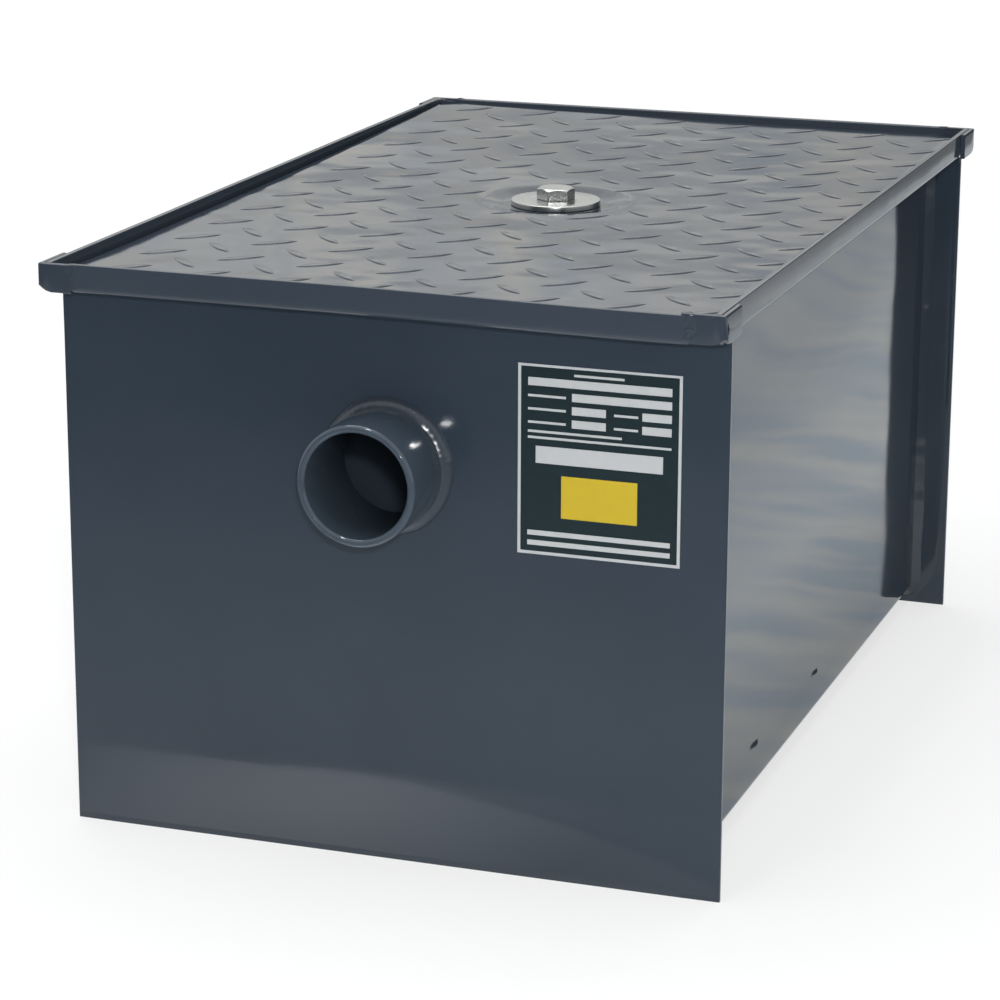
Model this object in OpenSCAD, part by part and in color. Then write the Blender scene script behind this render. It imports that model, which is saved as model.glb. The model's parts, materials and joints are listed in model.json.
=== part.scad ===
// Grease trap with a bolted tread-plate lid, in millimetres.
// The origin is on the floor under the middle of the tank, +Z is up and the inlet end faces -Y.

/* [Tank shell] */
// Outside width of the folded shell
tank_w = 305; // [270:1:360]
// Outside length over both end panels
tank_l = 517; // [470:1:600]
// Height of the walls, from the floor to the underside of the rim
wall_h = 282; // [270:1:330]
// Thickness of the shell sheet
shell_t = 3; // [2:0.5:4]
// Outside radius of the two long folds
fold_r = 6; // [5:0.5:14]
// Height of the tank's underside above the floor
belly_z = 8.5; // [6:0.5:24]

/* [End panels] */
// Width of the flange that each end panel makes past the shell's side walls
flange_w = 19.5; // [15:0.5:32]
// Thickness of each end panel
panel_t = 3; // [2:0.5:5]

/* [Pipe stubs] */
// Outside diameter of the two-inch pipe
pipe_d = 60.3; // [48:0.1:75]
// Wall thickness of the pipe
pipe_wall = 3.9; // [3:0.1:5.5]
// Length of the stub outside the panel
pipe_stub = 42; // [30:1:70]
// Length of the stub inside the tank
pipe_inner = 8; // [4:1:20]
// Height of the pipe's axis
pipe_z = 204.5; // [170:0.5:215]
// Bevel on the free end of the stub
pipe_bevel = 1.2; // [0.4:0.1:1.4]
// Leg of the weld fillet round the stub
weld_leg = 4; // [2:0.5:6]
// Radial gap between the stub and its hole
pipe_fit = 0.15; // [0.05:0.05:0.5]

/* [Rim] */
// Sheet thickness of the rim angles and corner straps
rim_t = 3; // [2:0.5:4]
// Height of the lip
lip_h = 14.5; // [13:0.5:22]
// Distance of the end lips in front of the end panels
lip_reach = 20.5; // [15:0.5:30]
// Length of a corner strap along the end lip
strap_end = 18; // [12:1:40]
// Length of a corner strap along the side lip
strap_side = 27; // [15:1:50]
// Bevel ground off the lower corner of each strap
strap_bevel = 4; // [1:0.5:6]

/* [Lid] */
// Plate thickness of the lid
lid_t = 3; // [2.5:0.5:4]
// Gap between the lid and the side lips
lid_side_gap = 4; // [2:0.5:7]
// Gap between the lid and the end lips
lid_end_gap = 3; // [2:0.5:7]
// Corner clipped off the lid
lid_clip = 12; // [4:1:20]
// Thickness of the rubber gasket under the lid
gasket_t = 2.2; // [1.5:0.1:4]
// Gap between the gasket and the lips
gasket_gap = 1.5; // [0.5:0.5:4]
// Diameter of the pressed dish round the bolt
dish_d = 78; // [70:1:100]
// Diameter of the flat floor of the dish
dish_floor_d = 56; // [54:1:66]
// Depth of the dish
dish_depth = 4; // [2:0.5:6]

/* [Tread lugs] */
// Distance between like lugs across the lid
lug_pitch_x = 42.6; // [36:0.1:60]
// Distance between like lugs along the lid
lug_pitch_y = 42.3; // [36:0.1:60]
// Sideways shift of the pattern
lug_shift = -11; // [-20:1:20]
// Lengthwise shift of the pattern
lug_slip = 1; // [-20:1:20]
// Length of a lug
lug_l = 26; // [16:0.5:28]
// Width of a lug
lug_w = 6.5; // [4:0.5:9]
// Height of a lug at its middle
lug_h = 0.9; // [0.8:0.1:2]
// Height of a lug at its ends
lug_tip_h = 0.3; // [0.2:0.1:0.7]

/* [Hold-down bolt] */
// Thread diameter of the bolt
bolt_d = 12.7; // [10:0.1:14]
// Width across the flats of the bolt head and the nut
hex_af = 18.4; // [18:0.1:24]
// Height of the bolt head
head_h = 6.4; // [5:0.1:10]
// Length of bolt past the nut
bolt_past = 5; // [2:0.5:12]
// Radial gap of the bolt in its nut
thread_fit = 0.05; // [0.02:0.01:0.1]
// Radial gap of the bolt in plain holes
bolt_fit = 0.8; // [0.4:0.1:1.5]
// Diameter of the large washer
washer_d = 49; // [40:0.1:53]
// Thickness of the large washer
washer_t = 3; // [2:0.5:4]
// Diameter of the rubber seal under the washer
seal_d = 46; // [36:0.5:50]
// Thickness of the rubber seal
seal_t = 1.5; // [1:0.5:3]
// Width of the bridge bar that holds the nut
bar_w = 40; // [28:1:60]
// Thickness of the bridge bar
bar_t = 6; // [4:0.5:10]
// Depth of the bar's top below the walls' top edge
bar_drop = 20; // [14:1:40]
// Height of the nut welded under the bar
nut_h = 11; // [8:0.5:14]

/* [Baffles] */
// Distance of each baffle from the middle of the tank
baffle_y = 124.5; // [80:0.5:170]
// Thickness of a baffle
baffle_t = 2; // [1.5:0.5:4]
// Depth of a baffle's top below the walls' top edge
baffle_drop = 18; // [10:1:40]
// Width of the passage under a baffle
pass_w = 200; // [120:1:230]
// Height of the passage under the inlet baffle
inlet_pass_h = 60; // [40:1:100]
// Height of the passage under the outlet baffle
outlet_pass_h = 45; // [40:1:100]
// Length of the finger slot near a baffle's top
grip_l = 70; // [50:1:100]
// Height of the finger slot
grip_h = 24; // [18:1:34]
// Depth of the finger slot's middle below the baffle's top
grip_drop = 30; // [26:1:50]
// Corner clipped off a baffle's foot
foot_clip = 12; // [9:1:20]
// Gap between a baffle and its guides
guide_fit = 0.4; // [0.3:0.1:1]
// Sheet thickness of a guide
guide_t = 2; // [1.5:0.5:3]
// Depth of a guide from the wall
guide_depth = 15; // [10:1:25]
// Gap between a baffle's edge and the back of its guide
guide_gap = 1; // [0.5:0.5:3]
// Height of a guide's foot above the shell's fold
guide_foot = 4; // [2:1:20]
// Depth of a guide's top below the baffle's top
guide_drop = 12; // [4:1:60]

/* [Hidden] */
$fn = 96;

enamel = "#3d4550";
zinc = "#c9ccce";
rubber = "#1c1d1f";

// Inside face of the side walls, and the inner and outer faces of the end panels
wall_x = tank_w / 2 - shell_t;
panel_in_y = tank_l / 2 - panel_t;
panel_out_y = tank_l / 2;
floor_z = belly_z + shell_t;
panel_w = tank_w + 2 * flange_w;

// Outer faces of the side and end lips, and the levels of the seat and the lid
lip_x = panel_w / 2;
lip_y = panel_out_y + lip_reach;
seat_z = wall_h + rim_t;
lid_z = seat_z + gasket_t;
lid_top = lid_z + lid_t;
lid_half_x = lip_x - rim_t - lid_side_gap;
lid_half_y = lip_y - rim_t - lid_end_gap;
end_lip_half = lip_x + rim_t - strap_end;

// Stack of the bolt: dish floor, seal, washer, head, and below them the bar and the nut
dish_z = lid_top - dish_depth;
washer_z = dish_z + seal_t;
head_z = washer_z + washer_t;
bar_z = wall_h - bar_drop;
nut_z = bar_z - bar_t - nut_h;
bolt_end_z = nut_z - bolt_past;
bolt_r = bolt_d / 2;
hex_r = hex_af / 2 / cos(30);

pipe_r = pipe_d / 2;
pipe_bore_r = pipe_r - pipe_wall;

baffle_half = wall_x - guide_t - guide_gap;
baffle_top = wall_h - baffle_drop;
slot_w = baffle_t + 2 * guide_fit;

// Lens of a lug: two equal arcs that meet at its tips, crowned along its length
lug_arc = (pow(lug_l / 2, 2) + pow(lug_w / 2, 2)) / lug_w;
lug_crown = pow(lug_l / 2, 2) / (2 * (lug_h - lug_tip_h));
lug_angle = 45;
lug_cols = ceil(lid_half_x / lug_pitch_x) + 1;
lug_rows = ceil(lid_half_y / lug_pitch_y) + 1;
// A lug whose middle is closer than this to the lid's edge is left out
lug_margin = 3;

function lug_x(i, set) = lug_shift + (i + set / 2) * lug_pitch_x;
function lug_y(j, set) = lug_slip + (j + set / 2) * lug_pitch_y;
function lug_fits(x, y) = abs(x) < lid_half_x - lug_margin && abs(y) < lid_half_y - lug_margin
    && abs(x) + abs(y) < lid_half_x + lid_half_y - lid_clip - lug_margin
    && norm([x, y]) > dish_d / 2 + lug_margin;

// Upright outline with its two lower corners rounded
module tub_outline(w, h, r) {
    translate([-w / 2, r]) square([w, h - r]);
    translate([-w / 2 + r, 0]) square([w - 2 * r, r]);
    for (s = [-1, 1]) translate([s * (w / 2 - r), r]) circle(r);
}

// Upright leg of a folded angle, with the outside of the bend rounded
module lip_section(h, t) {
    translate([0, t]) square([t, h - t]);
    intersection() {
        translate([t, t]) circle(t);
        square(t);
    }
}

// Folded angle: legs a and b from one corner
module angle_section(a, b, t) {
    translate([t, 0]) square([a - t, t]);
    lip_section(b, t);
}

// Slot with round ends, lying across
module slot_outline(l, h) {
    square([l - h, h], center = true);
    for (s = [-1, 1]) translate([s * (l - h) / 2, 0]) circle(h / 2);
}

// Bottom and both side walls, folded from one sheet
module tank_shell() {
    color(enamel) translate([0, panel_in_y, belly_z]) rotate([90, 0, 0]) linear_extrude(2 * panel_in_y)
        difference() {
            tub_outline(tank_w, wall_h - belly_z, fold_r);
            translate([0, shell_t]) tub_outline(tank_w - 2 * shell_t, wall_h, fold_r - shell_t);
        }
}

// End panel that stands on the floor; side is -1 at the inlet and 1 at the outlet
module end_panel(side) {
    color(enamel) difference() {
        translate([-panel_w / 2, side > 0 ? panel_in_y : -panel_out_y, 0]) cube([panel_w, panel_t, wall_h]);
        translate([0, side * panel_out_y, pipe_z]) rotate([90, 0, 0])
            cylinder(r = pipe_r + pipe_fit, h = 4 * panel_t, center = true);
    }
}

// Pipe stub turned about its own axis, with its weld fillet on the panel's outer face
module pipe_stub(side) {
    back = -panel_t - pipe_inner;
    color(enamel) translate([0, side * panel_out_y, pipe_z]) rotate([-side * 90, 0, 0]) rotate_extrude()
        polygon([[pipe_bore_r, back], [pipe_r, back], [pipe_r, 0], [pipe_r + weld_leg, 0], [pipe_r, weld_leg],
                 [pipe_r, pipe_stub - pipe_bevel], [pipe_r - pipe_bevel, pipe_stub],
                 [pipe_bore_r + pipe_bevel, pipe_stub], [pipe_bore_r, pipe_stub - pipe_bevel]]);
}

// Rim angle across one end: its lip stops at the corner straps and its seat reaches the side lips
module rim_end(side) {
    seat_half = lip_x - rim_t;
    color(enamel) mirror([0, side > 0 ? 1 : 0, 0]) union() {
        translate([-end_lip_half, -lip_y, wall_h]) rotate([90, 0, 90]) linear_extrude(2 * end_lip_half)
            angle_section(lip_y - panel_in_y, lip_h, rim_t);
        translate([-seat_half, rim_t - lip_y, wall_h]) cube([2 * seat_half, lip_y - rim_t - panel_in_y, rim_t]);
    }
}

// Rim angle along one side: its lip runs between the end lips and its seat between the end seats
module rim_side(side) {
    lip_half = lip_y - rim_t;
    color(enamel) mirror([side > 0 ? 0 : 1, 0, 0]) union() {
        translate([lip_x, lip_half, wall_h]) rotate([90, 0, 0]) mirror([1, 0, 0]) linear_extrude(2 * lip_half)
            lip_section(lip_h, rim_t);
        translate([wall_x, -panel_in_y, wall_h]) cube([lip_x - rim_t - wall_x, 2 * panel_in_y, rim_t]);
    }
}

// Folded strap that closes one corner of the rim, with its lower corner ground off
module rim_corner(side_x, side_y) {
    color(enamel) mirror([side_x > 0 ? 0 : 1, 0, 0]) mirror([0, side_y > 0 ? 1 : 0, 0])
        translate([lip_x + rim_t, -lip_y, wall_h]) difference() {
            mirror([1, 0, 0]) linear_extrude(lip_h) angle_section(strap_end, strap_side, rim_t);
            rotate([0, 0, 135]) rotate([0, 45, 0])
                cube([strap_bevel * sqrt(2), 6 * strap_bevel, strap_bevel * sqrt(2)], center = true);
        }
}

// Flat bar across the tank, welded to both walls, with a plain hole for the bolt
module bridge_bar() {
    color(enamel) difference() {
        translate([-wall_x, -bar_w / 2, bar_z - bar_t]) cube([2 * wall_x, bar_w, bar_t]);
        translate([0, 0, bar_z - bar_t / 2]) cylinder(r = bolt_r + bolt_fit, h = 2 * bar_t, center = true);
    }
}

// Hex nut welded under the bar
module bridge_nut() {
    color(zinc) translate([0, 0, nut_z]) difference() {
        cylinder(r = hex_r, h = nut_h, $fn = 6);
        translate([0, 0, nut_h / 2]) cylinder(r = bolt_r + thread_fit, h = 2 * nut_h, center = true);
    }
}

// Flat rubber frame on the seat of the rim
module lid_gasket() {
    half_x = lip_x - rim_t - gasket_gap;
    half_y = lip_y - rim_t - gasket_gap;
    color(rubber) translate([0, 0, seat_z]) linear_extrude(gasket_t) difference() {
        square([2 * half_x, 2 * half_y], center = true);
        square([2 * wall_x, 2 * panel_in_y], center = true);
    }
}

// Rectangle of the lid with its four corners clipped
module lid_outline() {
    polygon([for (q = [[1, 1], [-1, 1], [-1, -1], [1, -1]], end = q[0] * q[1] > 0 ? [0, 1] : [1, 0])
        [q[0] * (lid_half_x - end * lid_clip), q[1] * (lid_half_y - (1 - end) * lid_clip)]]);
}

// One raised lug, pointed at both ends, with its root sunk in the plate
module tread_lug() {
    root = lid_t / 4;
    intersection() {
        translate([0, 0, -root]) linear_extrude(root + lug_h) intersection() {
            translate([0, lug_arc - lug_w / 2]) circle(lug_arc);
            translate([0, lug_w / 2 - lug_arc]) circle(lug_arc);
        }
        translate([0, 0, lug_h - lug_crown]) rotate([90, 0, 0]) cylinder(r = lug_crown, h = 2 * lug_w, center = true);
    }
}

// Two crossed sets of lugs, the second half a pitch from the first both ways
module tread_lugs() {
    for (set = [0, 1], i = [-lug_cols:lug_cols], j = [-lug_rows:lug_rows])
        if (lug_fits(lug_x(i, set), lug_y(j, set)))
            translate([lug_x(i, set), lug_y(j, set), lid_top]) rotate([0, 0, set > 0 ? -lug_angle : lug_angle])
                tread_lug();
}

// Tread plate with a dish pressed into its middle and a hole for the bolt
module lid() {
    color(enamel) difference() {
        union() {
            translate([0, 0, lid_z]) linear_extrude(lid_t) lid_outline();
            translate([0, 0, lid_z - dish_depth]) cylinder(r1 = dish_floor_d / 2, r2 = dish_d / 2, h = dish_depth);
            intersection() {
                tread_lugs();
                translate([0, 0, lid_z]) linear_extrude(lid_t + 2 * lug_h) lid_outline();
            }
        }
        translate([0, 0, dish_z]) cylinder(r1 = dish_floor_d / 2, r2 = dish_d / 2, h = dish_depth);
        translate([0, 0, lid_top]) cylinder(r = dish_d / 2, h = 2 * lug_h);
        translate([0, 0, dish_z - lid_t / 2]) cylinder(r = bolt_r + bolt_fit, h = 2 * lid_t, center = true);
    }
}

// Flat ring round the bolt
module bolt_ring(d, t, z) {
    translate([0, 0, z]) difference() {
        cylinder(d = d, h = t);
        translate([0, 0, t / 2]) cylinder(r = bolt_r + bolt_fit / 2, h = 2 * t, center = true);
    }
}

module bolt_seal() {
    color(rubber) bolt_ring(seal_d, seal_t, dish_z);
}

module bolt_washer() {
    color(zinc) bolt_ring(washer_d, washer_t, washer_z);
}

// Hex bolt: a head with its top corners turned off, and a shank with a chamfered tip
module lid_bolt() {
    tip = bolt_r / 4;
    color(zinc) union() {
        intersection() {
            translate([0, 0, head_z]) cylinder(r = hex_r, h = head_h, $fn = 6);
            translate([0, 0, head_z]) cylinder(r1 = hex_af / 2 + 1.6 * head_h, r2 = hex_af / 2 * 0.95, h = head_h);
        }
        rotate_extrude() polygon([[0, bolt_end_z], [bolt_r - tip, bolt_end_z], [bolt_r, bolt_end_z + tip],
                                  [bolt_r, head_z + tip], [0, head_z + tip]]);
    }
}

// Baffle that stands on the tank floor with a passage under it and a finger slot near its top
module baffle(y, pass_h) {
    h = baffle_top - floor_z;
    color(enamel) translate([0, y + baffle_t / 2, floor_z]) rotate([90, 0, 0]) linear_extrude(baffle_t)
        difference() {
            polygon([[foot_clip - baffle_half, 0], [baffle_half - foot_clip, 0], [baffle_half, foot_clip],
                     [baffle_half, h], [-baffle_half, h], [-baffle_half, foot_clip]]);
            translate([-pass_w / 2, -pass_h]) square([pass_w, 2 * pass_h]);
            translate([0, h - grip_drop]) slot_outline(grip_l, grip_h);
        }
}

// Channel on a side wall that a baffle's edge slides down
module baffle_guide(side_x, y) {
    foot_z = belly_z + fold_r + guide_foot;
    out_w = slot_w + 2 * guide_t;
    color(enamel) mirror([side_x > 0 ? 0 : 1, 0, 0])
        translate([wall_x - guide_depth, y - out_w / 2, foot_z])
            linear_extrude(baffle_top - guide_drop - foot_z) difference() {
                square([guide_depth, out_w]);
                translate([-guide_t, guide_t]) square([guide_depth, slot_w]);
            }
}

tank_shell();
end_panel(-1);  // inlet_panel
end_panel(1);  // outlet_panel
pipe_stub(-1);  // inlet_pipe
pipe_stub(1);  // outlet_pipe
rim_end(-1);  // rim_front
rim_end(1);  // rim_rear
rim_side(-1);  // rim_left
rim_side(1);  // rim_right
rim_corner(-1, -1);  // rim_corner_fl
rim_corner(1, -1);  // rim_corner_fr
rim_corner(-1, 1);  // rim_corner_rl
rim_corner(1, 1);  // rim_corner_rr
bridge_bar();
bridge_nut();
lid_gasket();
lid();
bolt_seal();
bolt_washer();
lid_bolt();
baffle(-baffle_y, inlet_pass_h);  // inlet_baffle
baffle(baffle_y, outlet_pass_h);  // outlet_baffle
baffle_guide(-1, -baffle_y);  // inlet_guide_left
baffle_guide(1, -baffle_y);  // inlet_guide_right
baffle_guide(-1, baffle_y);  // outlet_guide_left
baffle_guide(1, baffle_y);  // outlet_guide_right
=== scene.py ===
# %% [markdown]
# # Dressing a grease trap
#
# A grease trap is a welded steel tank that stands under a kitchen sink. Waste water slows down between
# its baffles, the grease floats to the top, and the tread-plate lid is unbolted to clean it out. The
# solids of the tank come packed, in one frame with +Z up. This script gives them the unevenness, welds,
# rounded edges and paint of the real thing, then sets up the light and the camera.

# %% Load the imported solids
import json

import bmesh
import bpy
import numpy as np
from mathutils import Matrix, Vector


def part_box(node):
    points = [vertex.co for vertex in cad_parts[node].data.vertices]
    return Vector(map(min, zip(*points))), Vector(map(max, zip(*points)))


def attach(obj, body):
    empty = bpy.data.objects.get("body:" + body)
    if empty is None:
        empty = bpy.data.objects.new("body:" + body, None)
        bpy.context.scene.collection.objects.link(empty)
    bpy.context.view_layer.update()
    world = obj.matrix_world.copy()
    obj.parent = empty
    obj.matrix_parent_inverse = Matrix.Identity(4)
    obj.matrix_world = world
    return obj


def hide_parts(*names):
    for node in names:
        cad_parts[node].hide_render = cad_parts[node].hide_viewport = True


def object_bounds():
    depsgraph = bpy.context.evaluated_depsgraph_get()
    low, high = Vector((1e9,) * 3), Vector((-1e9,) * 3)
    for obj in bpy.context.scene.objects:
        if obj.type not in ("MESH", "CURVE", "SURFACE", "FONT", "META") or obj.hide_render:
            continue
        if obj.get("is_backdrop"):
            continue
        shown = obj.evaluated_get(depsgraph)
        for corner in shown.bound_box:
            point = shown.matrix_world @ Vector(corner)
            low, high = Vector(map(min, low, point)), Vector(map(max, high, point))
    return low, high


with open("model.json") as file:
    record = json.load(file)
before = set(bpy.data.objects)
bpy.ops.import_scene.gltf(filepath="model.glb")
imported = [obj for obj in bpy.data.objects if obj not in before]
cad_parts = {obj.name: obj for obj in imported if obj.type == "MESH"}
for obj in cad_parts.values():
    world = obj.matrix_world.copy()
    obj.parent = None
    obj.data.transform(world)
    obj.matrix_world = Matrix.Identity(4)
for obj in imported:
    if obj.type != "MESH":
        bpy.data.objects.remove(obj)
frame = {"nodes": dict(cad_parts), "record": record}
cad_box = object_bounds()

# %% [markdown]
# The camera comes first, because every later step is judged through it. Its place and angles were fitted
# to the corners of the panel and rim, so each piece lands on its own place in the picture. A long lens,
# well back, keeps the edges nearly parallel.

# %% Set up the camera
CAMERA_PLACE = np.array([0.5755, -1.7387, 0.6332])
CAMERA_TURN, CAMERA_RISE, CAMERA_ROLL = np.radians([19.253, 15.689, 0.210])
CAMERA_LENS, SENSOR_WIDTH = 121.74, 36


def stand(made, axes, place):
    """Gives an object its three axes and its place, and adds it to the scene."""
    matrix = np.eye(4)
    matrix[:3] = np.stack([*axes, place], axis=1)
    made.matrix_world = Matrix(matrix.tolist())
    bpy.context.scene.collection.objects.link(made)
    return made


back = np.array([np.sin(CAMERA_TURN) * np.cos(CAMERA_RISE),
                 -np.cos(CAMERA_TURN) * np.cos(CAMERA_RISE), np.sin(CAMERA_RISE)])
level = np.array([np.cos(CAMERA_TURN), np.sin(CAMERA_TURN), 0.0])
upright = np.cross(back, level)
right = np.cos(CAMERA_ROLL) * level + np.sin(CAMERA_ROLL) * upright
up = np.cos(CAMERA_ROLL) * upright - np.sin(CAMERA_ROLL) * level

camera = bpy.data.objects.new("camera", bpy.data.cameras.new("camera"))
camera.data.lens, camera.data.sensor_width = CAMERA_LENS, SENSOR_WIDTH
bpy.context.scene.camera = stand(camera, (right, up, back), CAMERA_PLACE)
bpy.context.scene.view_settings.view_transform = "Standard"
print("camera", round(float(np.linalg.norm(CAMERA_PLACE)), 2), "m from the tank")

# %% [markdown]
# The sizes are read from the solids and not typed a second time, so a piece follows its solid when a
# size changes. From here on lengths are in millimetres, until the last step of a mesh. The few numbers
# that a box can't tell, such as a fold's radius, are named here.

# %% Read the sizes
def box_mm(solid):
    """Lowest and highest corner of a solid in millimetres, as two rows."""
    return np.array([list(corner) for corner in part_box(solid)]) * 1000


panel_lo, panel_hi = box_mm("inlet_panel")
shell_lo, shell_hi = box_mm("tank_shell")
front_lo, front_hi = box_mm("rim_front")
side_lo, side_hi = box_mm("rim_right")
strap_lo, strap_hi = box_mm("rim_corner_fr")
washer_lo, washer_hi = box_mm("bolt_washer")
bolt_lo, bolt_hi = box_mm("lid_bolt")
pipe_lo, pipe_hi = box_mm("inlet_pipe")
lid_hi, gasket_hi = box_mm("lid")[1], box_mm("lid_gasket")[1]
inlet_stub = next(m for m in frame["record"]["mounts"] if m["name"] == "inlet_stub")

sheet = panel_hi[1] - panel_lo[1]
panel_half, wall_top, panel_out = panel_hi[0], panel_hi[2], -panel_lo[1]
shell_half, belly, shell_end = shell_hi[0], shell_lo[2], shell_hi[1]
lip_top, end_lip, side_lip = front_hi[2], -front_lo[1], side_hi[0]
pipe_r, pipe_z, pipe_reach = inlet_stub["dims"]["r_mm"], (pipe_lo[2] + pipe_hi[2]) / 2, -pipe_lo[1]
fold_r, pipe_wall = 6.0, 3.9
ENDS = (("inlet", -1), ("outlet", 1))
print(f"panel {2 * panel_half:.0f} by {wall_top:.0f}, pipe radius {pipe_r:.2f} at {pipe_z:.1f}")

# %% [markdown]
# A few helpers carry all the meshes. A surface is a grid of points, so its faces follow from the
# grid's rows and columns alone. Every piece leaves through one function, which closes open ends, turns
# the faces outwards, marks sharp edges, and lets the piece ride on its body.

# %% Helpers for surfaces and pieces
def grid_quads(rows, cols, wrap_rows=False, wrap_cols=False):
    """Corner numbers of a grid's quads, going on from the last row or column to the first where it wraps."""
    r = np.arange(rows if wrap_rows else rows - 1)[:, None]
    c = np.arange(cols if wrap_cols else cols - 1)[None, :]
    r1, c1 = (r + 1) % rows, (c + 1) % cols
    return np.stack([r * cols + c, r * cols + c1, r1 * cols + c1, r1 * cols + c], axis=-1).reshape(-1, 4)


def surface(points, ring=False):
    """A grid's points and quads: its columns close on themselves, and in a ring its rows do too."""
    return points, grid_quads(*points.shape[:2], ring, True)


def together(*shapes):
    """One point array and one quad array from several shapes, each given as its points and its quads."""
    points = [np.reshape(p, (-1, 3)) for p, _ in shapes]
    starts = np.cumsum([0] + [len(p) for p in points])
    return np.concatenate(points), np.concatenate([q + s for (_, q), s in zip(shapes, starts)])


def mesh_object(name, points, quads, material):
    """A mesh of points in metres as an object of the scene."""
    mesh = bpy.data.meshes.new(name)
    mesh.from_pydata(np.reshape(points, (-1, 3)), [], quads.tolist())
    mesh.materials.append(material)
    made = bpy.data.objects.new(name, mesh)
    bpy.context.scene.collection.objects.link(made)
    return made


def piece(name, shape, material, body="tank", stands_for=(), sharp=40):
    """Object of a shape in millimetres: open ends closed, faces turned outwards, riding on a body."""
    made = mesh_object(name, shape[0] * 0.001, shape[1], material)
    mesh, work = made.data, bmesh.new()
    work.from_mesh(mesh)
    bmesh.ops.holes_fill(work, edges=[e for e in work.edges if e.is_boundary], sides=0)
    bmesh.ops.recalc_face_normals(work, faces=work.faces)
    work.to_mesh(mesh)
    work.free()
    mesh.polygons.foreach_set("use_smooth", np.ones(len(mesh.polygons), bool))
    mesh.set_sharp_from_angle(angle=np.radians(sharp))
    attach(made, body)
    if stands_for:
        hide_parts(*stands_for)
    print(name, len(mesh.polygons), "faces")
    return made


# %% [markdown]
# Sheet metal is never quite flat. Rolling and welding leave slow swells of a few tenths of a millimetre,
# and gloss paint shows them as soft streaks. A sum of cosine waves with seeded headings gives such
# a swell as a plain function of two lengths, the same in every run.

# %% Unevenness, easing and rounded corners
def ease(x, start, end):
    """Smooth step from 0 at start to 1 at end."""
    t = np.clip((x - start) / (end - start), 0, 1)
    return t * t * (3 - 2 * t)


def unevenness(u, v, length, seed, run=1.0):
    """Slow swell between about -1 and 1: nine cosine waves of about that length, drawn out by run along v."""
    draw = np.random.default_rng(seed)
    heading, phase = draw.uniform(0, 2 * np.pi, (2, 9))
    step = 2 * np.pi / (length * draw.uniform(0.7, 1.8, 9))
    angle = np.multiply.outer(u, step * np.cos(heading)) + np.multiply.outer(v, step * np.sin(heading) / run)
    return np.cos(angle + phase).sum(-1) / 4


def rounded(outline, radius, steps=4):
    """Closed outline with each corner replaced by an arc: its centre lies on the corner's bisector, and the arc
    runs between the two points where the circle touches the sides."""
    p = np.asarray(outline, float)
    r = np.broadcast_to(np.asarray(radius, float), len(p))[:, None]
    a, b = np.roll(p, 1, 0) - p, np.roll(p, -1, 0) - p
    a, b = a / np.linalg.norm(a, axis=1, keepdims=True), b / np.linalg.norm(b, axis=1, keepdims=True)
    half = np.arccos(np.clip(np.sum(a * b, 1, keepdims=True), -1, 1)) / 2
    middle = (a + b) / np.linalg.norm(a + b, axis=1, keepdims=True)
    centre = p + middle * r / np.sin(half)
    first, last = p + a * r / np.tan(half) - centre, p + b * r / np.tan(half) - centre
    turn = (np.pi - 2 * half)[:, None]
    t = np.linspace(0, 1, steps)[None, :, None]
    arc = (np.sin((1 - t) * turn) * first[:, None] + np.sin(t * turn) * last[:, None]) / np.sin(turn)
    return (centre[:, None] + arc).reshape(-1, 2)


# %% [markdown]
# The paint is a dark slate-grey gloss enamel, sprayed on in one coat. Its own colour is nearly black-blue;
# the pale grey of the lid and of the side wall is only the bright room, mirrored at a low angle. So the
# colour stays dark here and the gloss does the rest. Three things keep it from looking like plastic: a
# cloudy change of tone where the coat is thinner, orange peel of a millimetre or two, and slow swells.

# %% Enamel
def linear(hex_colour):
    """An sRGB hex colour as linear red, green, blue and an alpha of one."""
    s = np.array([int(hex_colour[i:i + 2], 16) for i in (1, 3, 5)]) / 255
    return (*np.where(s <= 0.04045, s / 12.92, ((s + 0.055) / 1.055) ** 2.4).tolist(), 1.0)


def feed(made, links):
    """Joins other nodes to a node's sockets: a link's source is a socket, or a node for its first output."""
    for socket, source in dict(links).items():
        made.id_data.links.new(getattr(source, "outputs", [source])[0], made.inputs[socket])


def add(tree, kind, values=(), links=(), **settings):
    """Adds a node: settings are its own properties, values go on its sockets and links join others to them."""
    made = tree.nodes.new("ShaderNode" + kind)
    for name, value in settings.items():
        setattr(made, name, value)
    for socket, value in dict(values).items():
        made.inputs[socket].default_value = value
    feed(made, links)
    return made


def new_finish(name, values):
    """A material with its constant values on the shader's own sockets, and its tree, shader and place."""
    material = bpy.data.materials.new(name)
    material.use_nodes = True
    tree = material.node_tree
    shader = tree.nodes["Principled BSDF"]
    for socket, value in values.items():
        shader.inputs[socket].default_value = value
    return material, tree, shader, add(tree, "TexCoord").outputs["Object"]


def two_toned(tree, place, first, last, patch_mm, detail, roughness=0.5):
    """A noise with patches of that size, and a colour that runs with it between two tones."""
    patches = {"Scale": 1000 / patch_mm, "Detail": detail, "Roughness": roughness}
    noise = add(tree, "TexNoise", patches, {"Vector": place})
    tones = {6: linear(first), 7: linear(last)}
    return noise, add(tree, "Mix", tones, {0: noise}, data_type="RGBA").outputs[2]


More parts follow.
